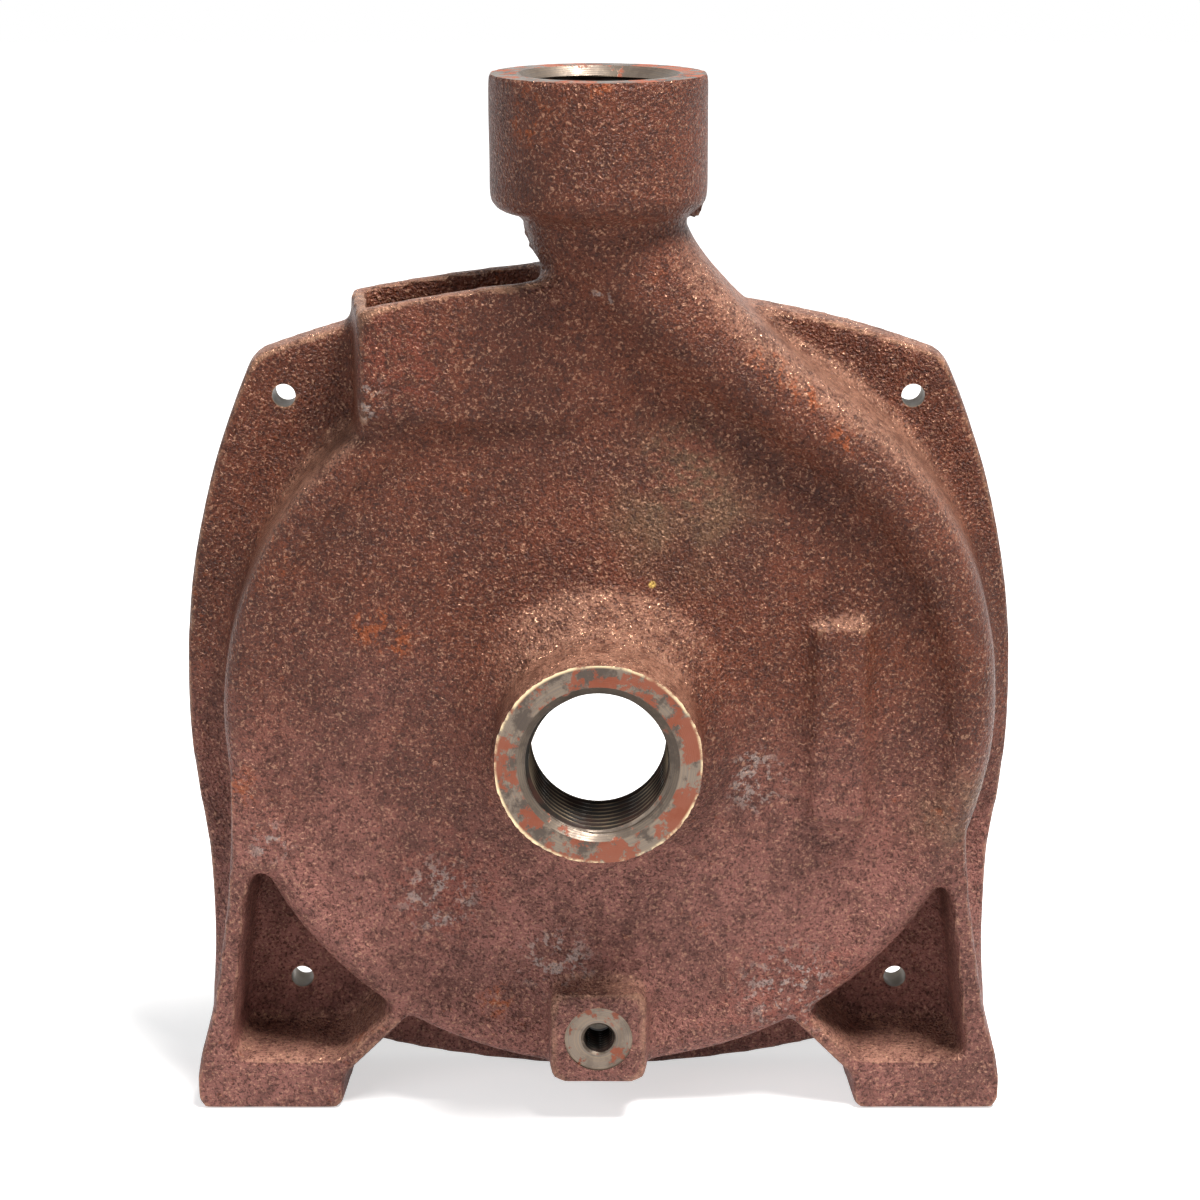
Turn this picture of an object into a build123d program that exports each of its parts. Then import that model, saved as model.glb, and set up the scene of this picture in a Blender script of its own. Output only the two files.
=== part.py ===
from build123d import *

import os
from math import cos, pi, radians, sin, tan

# Volute casing of a small end-suction pump, one grey iron casting, in millimetres.
# The shaft axis is Y, and the rear mating face of the square flange lies in the plane y = 0.
# The suction port faces -Y, the discharge port +Z, and the soles of both feet face -Z.
# A reach is a distance forward of the mating face, towards -Y. Angles run counter-clockwise
# from +X for someone who looks at the suction port.

# Main heights and reaches
shaftHeight = 96.5          # shaft axis above the soles
dischargeHeight = 145.5     # discharge face above the shaft axis
suctionReach = 58.0         # suction face
dischargeReach = 18.0       # discharge axis

# Square flange
flangeHalfWidth = 97.3
flangeHalfHeight = 96.0     # just clear of the floor
flangeThick = 8.5
flangeSideRadius = 190.0    # bulge of the left and right side
flangeTopRadius = 220.0     # bulge of the upper and lower side
flangeCornerRadius = 8.0
flangeDraft = 3.5
flangeEdgeRound = 1.2
boltSpacing = 143.8
boltHole = 5.5

# Drum of the volute
drumRadius = 88.0           # at the mating face, before the spiral grows
spiralGrowth = 7.4
spiralStart = -75.0
spiralFull = 36.0
spiralEnd = 53.0
tongueAngle = 125.0
drumDraft = 4.5
rimReach = 30.0
rimRound = 4.0
drumFoot = 2.6              # cove between the drum and the flange
valleyReach = 28.8
valleyInset = 8.5
valleyFlank = 2.0
discInset = 12.5            # where the coned disc comes down to the valley
coneRadius = 34.0
coneReach = 33.3

# Ridge of the volute and neck to the discharge boss
ridgeStart = -66.0
ridgeStartRadius = 4.2
ridgeStartTip = 29.6
ridgeEndRadius = 8.7
ridgeEndTip = 35.2
ridgeInset = 0.35           # from the drum wall
ridgeBack = 24.0            # reach of the ridge's rear side, inside the drum
ridgeDeepens = 20.0         # angle from which the ridge reaches back to the flange
ridgeBackSag = 0.4          # bulge of the rear side
neckRadius = 18.7
neckLead = 19.5             # along the spiral, before the neck turns up
neckRise = 18.8             # straight up, below the boss
neckAside = 1.7             # from the discharge axis, where the neck meets the boss
neckGrowth = 1.43           # power with which it swells towards the boss
neckSink = 1.1              # power with which it goes back to the boss's reach
neckBuried = 1.5            # in the boss
neckBack = 0.5              # reach of the neck's rear side
neckBackSag = 16.4          # bulge of the rear side at the boss

# Ports
portMinor = 30.29           # minor diameter of the one inch parallel pipe thread
portChamfer = 1.6
dischargeBossRadius = 24.0
dischargeBossLength = 29.8
dischargeBossRound = 4.0
dischargeThread = 22.0
hubRadius = 23.25
hubReach = 41.2             # where the hub's straight part begins
hubFoot = 5.0
hubShoulder = 3.0
suctionThread = 19.0
eyeRadius = 17.6
neckRingRadius = 22.0
neckRingDepth = 3.5

# Hollow inside
wallThick = 6.0
chamberGap = 2.0            # more wall at the chamber's rim
chamberEdge = 10.0          # from the chamber's rim to its conical front
registerRadius = 89.0
registerDepth = 3.0
chamberRound = 4.0
chamberClose = 48.0         # angle where the chamber ends at the throat
chamberTongue = 86.0        # angle where it is back at its smallest
throatHalfWidth = 7.0
throatHalfDepth = 9.0
throatReach = 15.0
passageRadius = 14.0
passageLead = 24.0
passageRise = 15.0
passageGrowth = 1.5

# Open box beside the neck
boxReach = 32.2
boxLeftFront = -52.8
boxLeftRear = -56.4
boxBottomLeft = 69.0
boxBottomRight = 67.0
boxTopLeft = 95.2
boxTopMiddle = 99.2
boxTopRight = 102.6
boxMiddle = -32.0
boxRight = -4.0
boxLean = 2.0               # degrees that the box front turns back towards the neck
boxBuried = 15.0            # right end, inside the neck
boxEndDrop = 12.0           # of the upper edge on its way to that end
boxEndRise = 13.0           # of the lower edge
boxStep = 2.4               # sloped step below the box
boxEdgeRound = 2.2
boxFrontWall = 5.6
boxRearWall = 4.0
slotLeftFront = -50.6
slotLeftRear = -52.8
slotRight = -13.2
slotBelow = 4.0             # below the box's lower edge, and below the boss
slotEndRadius = 4.0

# Feet
footHalfWidth = 95.0
footInnerFront = 60.6
footInnerRear = 58.8
footBlockHeight = 9.5       # heights of a foot's points above the sole
footKinkHeight = 5.5
footOuter = [(94.1, 13.5), (91.8, 21), (88.8, 37), (86.3, 53.5), (85.1, 68.5), (84.4, 86.5)]
footDraft = 1.5
footBuried = 74.0           # inside the drum
footRibX = 45.8             # slanted rib where it meets the drum
footRibHeight = 22.7
footRibStep = 1.6
footCornerRadius = 2.4
footRimLap = 1.6            # how far the ribs lap the crest of the rim
flangeDrop = [(94.3, 66.5), (93.2, 54.5), (92.9, 40.5), (93.4, 26.5), (94.4, 11.5)]
flangeDropInner = 66.8
pocketFloor = 12.5
pocketOuter = [(80.6, 59.5), (82.2, 53.5), (87.1, 12.5)]
pocketInner = [(60.6, 12.5), (48.6, 25.0), (58.0, 50.5), (74.0, 59.5)]
pocketRound = 3.0
pocketDraft = 1.2

# Drain boss and raised pad
drainHeight = -74.6
drainHalf = 11.2
drainReach = 38.5
drainCorner = 3.2
drainDraft = 4.0
drainSpotRadius = 7.9
drainSpotDepth = 0.5
drainEdgeRound = 1.0
drainBeyond = 3.0           # drain hole into the chamber
drainHole = 6.65
padX = 54.6
padWidth = 11.6
padTop = 23.6
padBottom = -22.2
padRise = 3.0
padBuried = 1.5
padDraft = 28.0
padPoint = 3.2              # height of the pointed lower end


def front(reach):
    """Plane at a reach, facing the suction side, with X to the right and Z up."""
    return Plane.XZ.offset(reach)


def blend(share):
    return 0.5 - 0.5 * cos(pi * share)


def spiral(angle, base, growth, full, last, tongue):
    """Radius at an angle between the tongue and the tongue plus one turn."""
    if angle < 360 + spiralStart:
        return base
    if angle < 360 + full:
        return base + growth * (angle - 360 - spiralStart) / (full - spiralStart)
    if angle < 360 + last:
        return base + growth
    return base + growth * (1 - blend((angle - 360 - last) / (tongue - last)))


def drumWall(angle, reach):
    turned = angle if angle >= tongueAngle else angle + 360
    radius = spiral(turned, drumRadius, spiralGrowth, spiralFull, spiralEnd, tongueAngle)
    return radius - reach * tan(radians(drumDraft))


def chamberWall(angle):
    turned = angle if angle >= chamberTongue else angle + 360
    base = drumRadius - wallThick - chamberGap
    return spiral(turned, base, spiralGrowth, spiralFull, chamberClose, chamberTongue)


def closedSpline(radiusAt, reach, step=15):
    points = []
    for angle in range(0, 360, step):
        radius = radiusAt(angle)
        points.append((radius * cos(radians(angle)), radius * sin(radians(angle))))
    return front(reach) * make_face(Edge.make_spline([Vector(*p) for p in points], periodic=True))


def flangeFace(inset, reach):
    """Square with bulged sides, which is what four large discs share, and round corners."""
    side, top = [Rot(0, 0, 45) * Circle(radius) for radius in (flangeSideRadius, flangeTopRadius)]
    across = flangeSideRadius - flangeHalfWidth + inset
    up = flangeTopRadius - flangeHalfHeight + inset
    face = Pos(across, 0) * side & Pos(-across, 0) * side & Pos(0, up) * top & Pos(0, -up) * top
    return front(reach) * fillet(face.vertices(), flangeCornerRadius - inset)


def makeFlange():
    inset = flangeThick * tan(radians(flangeDraft))
    plate = loft([flangeFace(0, 0), flangeFace(inset, flangeThick)], ruled=True)
    frontFace = plate.faces().sort_by(Axis.Y)[0]
    return fillet(frontFace.edges(), flangeEdgeRound)


def makeDrumBlock():
    """Spiral drum with a rounded rim and a coved foot, without the valley and the ridge."""
    def outline(reach, grow=0):
        return closedSpline(lambda a: drumWall(a, reach) + grow, reach)

    drum = loft([outline(flangeThick / 2), outline(rimReach)], ruled=True)
    drum = fillet(drum.faces().sort_by(Axis.Y)[0].edges(), rimRound)
    foot = loft([outline(flangeThick / 2, drumFoot), outline(flangeThick, drumFoot)], ruled=True)
    cove = loft([outline(flangeThick, drumFoot), outline(flangeThick + drumFoot, -0.1)], ruled=True)
    return drum + [foot, cove]


def makeValley():
    """Shallow space inside the rim, which the coned disc fills again."""
    inner = valleyInset
    outer = valleyInset - valleyFlank
    rise = rimReach - valleyReach
    return loft(
        [
            closedSpline(lambda a: drumWall(a, rimReach) - inner, valleyReach),
            closedSpline(lambda a: drumWall(a, rimReach) - outer, valleyReach + 2 * rise),
        ],
        ruled=True,
    )


def spin(points, rounds=()):
    """Solid turned about the shaft axis from points (radius, reach), with rounded corners."""
    face = make_face(Polyline(*points, close=True))
    for index, radius in rounds:
        spot = Vector(*points[index])
        face = fillet([v for v in face.vertices() if (Vector(v.X, v.Y, 0) - spot).length < 0.01], radius)
    upright = Plane(origin=(0, 0, 0), x_dir=(1, 0, 0), z_dir=(0, 0, -1))
    return revolve(upright * face, Axis.Y)


def discReach(radius):
    """Reach of the shallow cone between the hub and the valley."""
    share = (radius - coneRadius) / (drumRadius - discInset - coneRadius)
    return coneReach + (valleyReach - coneReach) * share


def makeFaceAndHub():
    edge = drumRadius - valleyInset
    points = [
        (0, flangeThick),
        (edge, flangeThick),
        (edge, discReach(edge)),
        (coneRadius, coneReach),
        (hubRadius, hubReach),
        (hubRadius, suctionReach),
        (0, suctionReach),
    ]
    return spin(points, [(3, hubFoot), (4, hubShoulder)])


def tubeFace(x, z, across, up, radius, reach, sag, back):
    """Section of ridge or neck: round in front, straight sides and a bulged rear."""
    side = reach - back - sag
    face = make_face([
        ThreePointArc((radius, 0), (0, radius), (-radius, 0)),
        Line((-radius, 0), (-radius, -side)),
        ThreePointArc((-radius, -side), (0, -side - sag), (radius, -side)),
        Line((radius, -side), (radius, 0)),
    ])
    return Plane(origin=(x, -reach, z), x_dir=(across, 0, up), z_dir=(up, 0, -across)) * face


def neckLine(start, lead, rise, aside, share):
    """Point and heading on a curve that leaves the spiral and ends upright in the boss."""
    top = dischargeHeight - dischargeBossLength + neckBuried
    points = [start, (start[0] + lead[0], start[1] + lead[1]), (aside, top - rise), (aside, top)]
    left = 1 - share
    weights = (left**3, 3 * left**2 * share, 3 * left * share**2, share**3)
    slopes = (-3 * left**2, 3 * left**2 - 6 * left * share, 6 * left * share - 3 * share**2, 3 * share**2)
    spot = [sum(w * p[i] for w, p in zip(weights, points)) for i in (0, 1)]
    heading = Vector(*[sum(s * p[i] for s, p in zip(slopes, points)) for i in (0, 1)]).normalized()
    return spot, heading


def makeRidgeAndNeck():
    """The volute's raised ridge, which grows round the rim and leaves it as the neck."""
    sections = []
    ridgeSteps = 7
    for step in range(ridgeSteps):
        share = step / (ridgeSteps - 1)
        angle = ridgeStart + share * (spiralEnd - ridgeStart)
        radius = ridgeStartRadius + (ridgeEndRadius - ridgeStartRadius) * share**1.3
        tip = ridgeStartTip + (ridgeEndTip - ridgeStartTip) * share**1.2
        reach = tip - radius
        centre = drumWall(angle, reach) - radius - ridgeInset
        across, up = cos(radians(angle)), sin(radians(angle))
        deep = blend(min(1, max(0, (angle - ridgeDeepens) / (spiralEnd - ridgeDeepens))))
        back = ridgeBack + (neckBack - ridgeBack) * deep
        spot = (centre * across, centre * up)
        sections.append(tubeFace(*spot, across, up, radius, reach, ridgeBackSag, back))
    start = spot
    lead = (-neckLead * up, neckLead * across)
    neckSteps = 6
    for step in range(1, neckSteps + 1):
        share = step / neckSteps
        spot, heading = neckLine(start, lead, neckRise, neckAside, share)
        radius = ridgeEndRadius + (neckRadius - ridgeEndRadius) * share**neckGrowth
        back = share**neckSink
        reach = (ridgeEndTip - ridgeEndRadius) * (1 - back) + dischargeReach * back
        sag = ridgeBackSag + (neckBackSag - ridgeBackSag) * share**2
        sections.append(tubeFace(*spot, heading.Y, -heading.X, radius, reach, sag, neckBack))
    return loft(sections)


def makeDischargeBoss():
    boss = Cylinder(dischargeBossRadius, dischargeBossLength, align=(Align.CENTER, Align.CENTER, Align.MAX))
    boss = Pos(0, -dischargeReach, dischargeHeight) * boss
    return fillet(boss.edges().sort_by(Axis.Z)[0], dischargeBossRound)


def boxFace(left, reach, lean):
    """Outline of the open box: plumb left side, bowed top, and a right end inside the neck."""
    top = ThreePointArc((0, boxTopLeft), (boxMiddle - left, boxTopMiddle), (boxRight - left, boxTopRight))
    points = [(boxRight - left, boxTopRight), (boxBuried - left, boxTopRight - boxEndDrop)]
    points += [(boxBuried - left, boxBottomRight + boxEndRise), (boxRight - left, boxBottomRight)]
    points += [(0, boxBottomLeft), (0, boxTopLeft)]
    face = make_face([top] + [Line(a, b) for a, b in zip(points, points[1:])])
    across, ahead = cos(radians(lean)), sin(radians(lean))
    return Plane(origin=(left, -reach, 0), x_dir=(across, ahead, 0), z_dir=(ahead, -across, 0)) * face


def makeBox():
    """Box beside the neck, with the drafted left side and the sloped step below its front."""
    rear = boxFace(boxLeftRear, flangeThick / 2, 0)
    box = loft([rear, boxFace(boxLeftFront, boxReach, boxLean)], ruled=True)
    below = box.faces().sort_by(Axis.Y)[0].edges().sort_by(Axis.Z)[:2]
    box = chamfer(below, boxStep)
    side = box.faces().sort_by(Axis.Y)[0].edges().sort_by(Axis.X)[0]
    return fillet(side, boxEdgeRound)


def makeRearWall():
    """Thin wall behind the slot, which rises above the flange's own edge."""
    return loft([boxFace(boxLeftRear, 0, 0), boxFace(boxLeftRear, boxRearWall, 0)], ruled=True)


def slotCutter(solid):
    """Space of the slot, which widens to the rear, down to whatever is cast around it."""
    low = boxBottomLeft - slotBelow
    high = dischargeHeight - dischargeBossLength - slotBelow
    ahead, rear = boxFrontWall - boxReach, -boxRearWall
    corners = [(slotLeftFront, ahead), (slotRight, ahead), (slotRight, rear), (slotLeftRear, rear)]
    block = extrude(Plane.XY.offset(low) * make_face(Polyline(*corners, close=True)), high - low)
    ends = [e for e in block.edges().filter_by(Axis.Z) if e.center().X > slotRight - slotEndRadius]
    return fillet(ends, slotEndRadius) - solid


def fromSole(points, grow=0.0):
    """Points (across, height above the sole) as places in the frame, moved outwards by grow."""
    return [(x + grow, height - shaftHeight) for x, height in points]


def footFace(reach):
    """Outline of one foot with its two ribs, down to the part that is buried in the drum."""
    rear = 1 - reach / rimReach
    inner = footInnerFront + (footInnerRear - footInnerFront) * rear
    grow = rimReach * tan(radians(footDraft)) * rear
    outer = fromSole([(footHalfWidth, footKinkHeight)] + footOuter, grow)
    low = (footHalfWidth + grow, -shaftHeight - footCornerRadius)
    points = [outer[-1], (footBuried, outer[-1][1])]
    points += fromSole([(footRibX, footRibHeight), (inner - footRibStep, footBlockHeight)])
    points += [(inner, footBlockHeight - 2 - shaftHeight), (inner, low[1]), low, outer[0]]
    return front(reach) * make_face([Spline(*outer)] + [Line(a, b) for a, b in zip(points, points[1:])])


def makeFlangeDrop():
    """Lower corner of the flange, whose side runs straight down into the foot."""
    side = fromSole(flangeDrop)
    points = [side[-1], (flangeDropInner, side[-1][1]), (flangeDropInner, side[0][1]), side[0]]
    face = make_face([Spline(*side)] + [Line(a, b) for a, b in zip(points, points[1:])])
    plate = extrude(front(0) * face, flangeThick)
    return fillet(plate.faces().sort_by(Axis.Y)[0].edges().sort_by(Axis.X)[-1], flangeEdgeRound)


def makeFeet():
    """Both feet, with flat soles, each stopped under the crest of the rim."""
    foot = loft([footFace(0), footFace(rimReach)], ruled=True)
    foot -= Pos(footHalfWidth, 0, -1.5 * shaftHeight) * Box(2 * shaftHeight, 2 * shaftHeight, shaftHeight)
    sides = [e for e in foot.faces().sort_by(Axis.Z)[0].edges() if abs(e.tangent_at(0.5).Y) > 0.9]
    foot = fillet(sides, footCornerRadius)
    rim = closedSpline(lambda a: drumWall(a, rimReach) - rimRound - footRimLap, -1)
    foot -= extrude(rim, suctionReach)
    drop = makeFlangeDrop()
    return [foot, mirror(foot, Plane.YZ), drop, mirror(drop, Plane.YZ)]


def pocketFace(inset, reach):
    inner = [(x + inset, height + inset) for x, height in pocketInner[:2]] + pocketInner[2:]
    points = fromSole(pocketOuter[:2], -inset)
    points += fromSole([(pocketOuter[2][0] - inset, pocketOuter[2][1] + inset)] + inner)
    face = make_face(Polyline(*points, close=True))
    floor = pocketFloor + inset - shaftHeight
    return front(reach) * fillet([v for v in face.vertices() if v.Y < floor + 0.1], pocketRound)


def makePocket():
    """Space of one foot's pocket, whose inner side is left to the drum's wall."""
    return loft([pocketFace(pocketDraft, flangeThick), pocketFace(0, rimReach + 1)], ruled=True)


def makeDrainBoss():
    grow = (drainReach - flangeThick) * tan(radians(drainDraft))
    base = RectangleRounded(2 * (drainHalf + grow), 2 * (drainHalf + grow), drainCorner + grow)
    top = RectangleRounded(2 * drainHalf, 2 * drainHalf, drainCorner)
    place = Pos(0, drainHeight)
    boss = loft([front(flangeThick) * place * base, front(drainReach) * place * top], ruled=True)
    return fillet(boss.faces().sort_by(Axis.Y)[0].edges(), drainEdgeRound)


def makePad():
    """Raised pad with sloped sides and a pointed lower end."""
    face = discReach(padX)
    spread = (padRise + padBuried) * tan(radians(padDraft))
    sections = []
    for grow, reach in ((spread, face - padBuried), (0, face + padRise)):
        left, right = padX - padWidth / 2 - grow, padX + padWidth / 2 + grow
        tip = padPoint if grow else padPoint / 4
        points = [(left, padTop + grow), (right, padTop + grow), (right, padBottom)]
        points += [(padX, padBottom - tip), (left, padBottom)]
        sections.append(front(reach) * make_face(Polyline(*points, close=True)))
    return loft(sections, ruled=True)


def makePassage():
    """Oval throat and the passage from it, which turns round on its way to the discharge thread."""
    angle = radians(chamberClose)
    across, up = cos(angle), sin(angle)
    centre = chamberWall(chamberClose) - throatHalfWidth
    start = (centre * across, centre * up)
    lead = (-passageLead * up, passageLead * across)
    steps = 7
    sections = []
    for step in range(-1, steps + 1):
        share = max(step, 0) / steps
        spot, heading = neckLine(start, lead, passageRise, 0, share)
        width = throatHalfWidth + (passageRadius - throatHalfWidth) * share**passageGrowth
        depth = throatHalfDepth + (passageRadius - throatHalfDepth) * share
        reach = throatReach + (dischargeReach - throatReach) * share**passageGrowth
        if step < 0:
            spot = [spot[0] - heading.X * throatHalfWidth, spot[1] - heading.Y * throatHalfWidth]
        plane = Plane((spot[0], -reach, spot[1]), (heading.Y, 0, -heading.X), (heading.X, 0, heading.Y))
        section = Ellipse(width, depth) if step < steps else Circle(passageRadius)
        sections.append(plane * section)
    return loft(sections)


def makeChamber():
    """Register, spiral chamber and the conical space in front of the impeller."""
    inside, eye = valleyReach - wallThick, coneReach - wallThick
    walls = [closedSpline(chamberWall, -1), closedSpline(lambda a: chamberWall(a) - 1, inside)]
    chamber = loft(walls, ruled=True)
    chamber = fillet(chamber.faces().sort_by(Axis.Y)[0].edges(), chamberRound)
    edge = drumRadius - wallThick - chamberEdge
    cone = [(0, -1), (edge, -1), (edge, inside), (eyeRadius + 2, eye), (0, eye)]
    register = [(0, -1), (registerRadius, -1), (registerRadius, registerDepth), (0, registerDepth)]
    return chamber + spin(cone) + spin(register)


def makeSuctionBore():
    minor = portMinor / 2
    inside = coneReach - wallThick
    points = [
        (0, inside - 1),
        (neckRingRadius, inside - 1),
        (neckRingRadius, inside + neckRingDepth),
        (eyeRadius, inside + neckRingDepth),
        (eyeRadius, suctionReach - suctionThread - 2),
        (minor, suctionReach - suctionThread),
        (minor, suctionReach - portChamfer),
        (minor + portChamfer, suctionReach),
        (minor + portChamfer, suctionReach + 1),
        (0, suctionReach + 1),
    ]
    return spin(points)


def makeDischargeBore():
    """Thread wall, and below it the round end of the passage."""
    minor = portMinor / 2
    low = neckBuried - dischargeBossLength - 1
    points = [
        (0, low),
        (passageRadius, low),
        (passageRadius, -dischargeThread - 1),
        (minor, -dischargeThread),
        (minor, -portChamfer),
        (minor + portChamfer + 2, 0.4),
        (0, 0.4),
    ]
    points = [(x, z + dischargeHeight) for x, z in points]
    return Pos(0, -dischargeReach, 0) * revolve(Plane.XZ * make_face(Polyline(*points, close=True)), Axis.Z)


def makeHoles():
    """Four bracket holes, and the drain hole with its spot face."""
    half = boltSpacing / 2
    places = [Pos(x * half, z * half) for x in (-1, 1) for z in (-1, 1)]
    holes = [extrude(front(-1) * place * Circle(boltHole / 2), flangeThick + 2) for place in places]
    low = valleyReach - wallThick - drainBeyond
    drain = extrude(front(low) * Pos(0, drainHeight) * Circle(drainHole / 2), drainReach - low)
    floor = drainReach - drainSpotDepth
    spot = extrude(front(floor) * Pos(0, drainHeight) * Circle(drainSpotRadius), drainReach - floor + 1)
    return holes + [drain, spot]


def makeCasing():
    block = makeDrumBlock()
    drum = block - makeValley()
    neck = makeRidgeAndNeck() + makeDischargeBoss()
    added = [drum, makeFaceAndHub(), makeDrainBoss(), makePad(), makeBox(), makeRearWall(), neck]
    cast = makeFlange() + (added + makeFeet())
    cutters = [makeChamber(), makePassage(), makeSuctionBore(), makeDischargeBore(), slotCutter(drum + neck)]
    cutters += [makePocket() - block - neck, mirror(makePocket(), Plane.YZ) - block]
    return cast - (cutters + makeHoles())


if __name__ == "__main__":
    casing = makeCasing()
    print("solids", len(casing.solids()), "volume", round(casing.volume), "valid", casing.is_valid)
    os.makedirs("parts", exist_ok=True)
    export_step(casing, "parts/pump_casing.step")
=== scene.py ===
import math
import bmesh
import bpy
import numpy as np
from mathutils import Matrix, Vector, noise


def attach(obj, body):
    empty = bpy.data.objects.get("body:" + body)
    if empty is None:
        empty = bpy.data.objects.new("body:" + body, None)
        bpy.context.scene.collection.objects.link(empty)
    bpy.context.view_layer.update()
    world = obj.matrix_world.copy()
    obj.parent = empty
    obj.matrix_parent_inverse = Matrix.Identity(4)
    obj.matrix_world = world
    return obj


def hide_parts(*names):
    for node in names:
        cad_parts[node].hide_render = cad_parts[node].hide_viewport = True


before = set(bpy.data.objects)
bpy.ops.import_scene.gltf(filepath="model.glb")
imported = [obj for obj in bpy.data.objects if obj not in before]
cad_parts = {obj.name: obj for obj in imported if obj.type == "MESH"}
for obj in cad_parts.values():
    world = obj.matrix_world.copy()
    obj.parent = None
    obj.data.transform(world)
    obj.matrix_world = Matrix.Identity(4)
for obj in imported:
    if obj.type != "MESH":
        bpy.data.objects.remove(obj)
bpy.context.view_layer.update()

mm = 0.001
scene = bpy.context.scene
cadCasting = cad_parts["pump_casing"]

# All places below are in millimetres in the frame's own axes: the shaft is Y, the suction port
# faces -Y and the discharge port +Z. A reach is a distance forward of the mating face at y = 0.


def linkObject(name, data):
    piece = bpy.data.objects.new(name, data)
    scene.collection.objects.link(piece)
    return piece


def meshFrom(name, points, faces):
    mesh = bpy.data.meshes.new(name)
    mesh.from_pydata([Vector(p) * mm for p in points], [], faces)
    mesh.validate()
    return linkObject(name, mesh)


# Turns a profile of (radius, along) about an axis and closes its ends. wall(turn, along, radius)
# may change the radius.
def lathe(name, profile, place, axis, steps=96, wall=None):
    toAxis = Vector((0, 0, 1)).rotation_difference(Vector(axis)).to_matrix()
    points = []
    for step in range(steps):
        turn = 2 * math.pi * step / steps
        for radius, along in profile:
            grown = wall(turn, along, radius) if wall else radius
            spot = toAxis @ Vector((grown * math.cos(turn), grown * math.sin(turn), along))
            points.append(spot + Vector(place))
    rows = len(profile)
    faces = []
    for step in range(steps):
        here, after = step * rows, (step + 1) % steps * rows
        faces += [(here + row, after + row, after + row + 1, here + row + 1) for row in range(rows - 1)]
    faces.append([step * rows for step in reversed(range(steps))])
    faces.append([step * rows + rows - 1 for step in range(steps)])
    return meshFrom(name, points, faces)


def cylinder(name, radius, start, end, place, axis, steps=96):
    return lathe(name, [(radius, start), (radius, end)], place, axis, steps)


def block(name, low, high):
    corners = [(x, y, z) for x in (low[0], high[0]) for y in (low[1], high[1]) for z in (low[2], high[2])]
    faces = [(0, 1, 3, 2), (4, 6, 7, 5), (0, 4, 5, 1), (2, 3, 7, 6), (0, 2, 6, 4), (1, 5, 7, 3)]
    return meshFrom(name, corners, faces)


# Camera, at the photograph's distance and tilt
view = {"place": (0.34, -625.6, 202.0), "tiltDown": 16.151, "lens": 82.6}
camera = linkObject("camera", bpy.data.cameras.new("camera"))
camera.location = Vector(view["place"]) * mm
camera.rotation_euler = (math.radians(90 - view["tiltDown"]), 0, 0)
camera.data.lens = view["lens"]
camera.data.sensor_width = 36
scene.camera = camera
print("camera placed")


# Adds a shader node. Inputs are sockets to link from or plain values, by name or number.
def addNode(tree, kind, inputs=None, **settings):
    made = tree.nodes.new(kind)
    for key, value in settings.items():
        setattr(made, key, value)
    for key, value in (inputs or {}).items():
        if isinstance(value, bpy.types.NodeSocket):
            tree.links.new(value, made.inputs[key])
        else:
            made.inputs[key].default_value = value
    return made


def calc(tree, operation, *values):
    return addNode(tree, "ShaderNodeMath", dict(enumerate(values)), operation=operation).outputs[0]


def vectorCalc(tree, operation, *values):
    made = addNode(tree, "ShaderNodeVectorMath", dict(enumerate(values)), operation=operation)
    return made.outputs["Value" if operation in ("DOT_PRODUCT", "LENGTH", "DISTANCE") else "Vector"]


def fromRange(tree, value, low, high, start=0.0, end=1.0):
    inputs = {"Value": value, "From Min": low, "From Max": high, "To Min": start, "To Max": end}
    return addNode(tree, "ShaderNodeMapRange", inputs, interpolation_type="SMOOTHSTEP").outputs["Result"]


# Covers one colour by another; the numbers are the Mix node's own sockets for its factor and colours
def mixColour(tree, share, under, over):
    return addNode(tree, "ShaderNodeMix", {0: share, 6: under, 7: over}, data_type="RGBA").outputs[2]


def noiseAt(tree, where, grain, detail=3.0, roughness=0.55, distortion=0.0):
    inputs = {
        "Vector": where, "Scale": grain, "Detail": detail, "Roughness": roughness, "Distortion": distortion,
    }
    return addNode(tree, "ShaderNodeTexNoise", inputs).outputs["Fac"]


# Starts a node group from (name, kind, default) inputs and (name, kind) outputs
def startGroup(name, inputs, outputs):
    group = bpy.data.node_groups.new(name, "ShaderNodeTree")
    kinds = {"value": "NodeSocketFloat", "vector": "NodeSocketVector"}
    for label, kind, start in inputs:
        socket = group.interface.new_socket(name=label, in_out="INPUT", socket_type=kinds[kind])
        if start is not None:
            socket.default_value = start
    for label, kind in outputs:
        group.interface.new_socket(name=label, in_out="OUTPUT", socket_type=kinds[kind])
    return group, addNode(group, "NodeGroupInput").outputs, addNode(group, "NodeGroupOutput").inputs


def useGroup(tree, group, inputs):
    made = addNode(tree, "ShaderNodeGroup", node_tree=group)
    for key, value in inputs.items():
        if isinstance(value, bpy.types.NodeSocket):
            tree.links.new(value, made.inputs[key])
        else:
            made.inputs[key].default_value = value
    return made.outputs


# Scale of a noise whose grains are about so many millimetres wide
def grainScale(tree, size):
    return calc(tree, "DIVIDE", 1 / mm, size)


# How much of a mask is used
def shareOf(tree, mask, share):
    return calc(tree, "MULTIPLY", mask, share)


# 1 on what the camera sees directly, in metal or through glass, so that all three show one background
def seenRays(tree):
    rays = addNode(tree, "ShaderNodeLightPath").outputs
    mirrored = calc(tree, "MAXIMUM", rays["Is Glossy Ray"], rays["Is Transmission Ray"])
    return calc(tree, "MAXIMUM", rays["Is Camera Ray"], mirrored)


# Pebbled skin that sand leaves on a casting. The ranges are levels of the noise.
grainLook = {
    "distortion": 0.6, "bentShare": 0.75, "pebbleShare": 0.35, "swellShare": 0.5,
    "crest": (0.55, 0.68), "pitShade": (0.46, 0.36),
}


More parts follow.
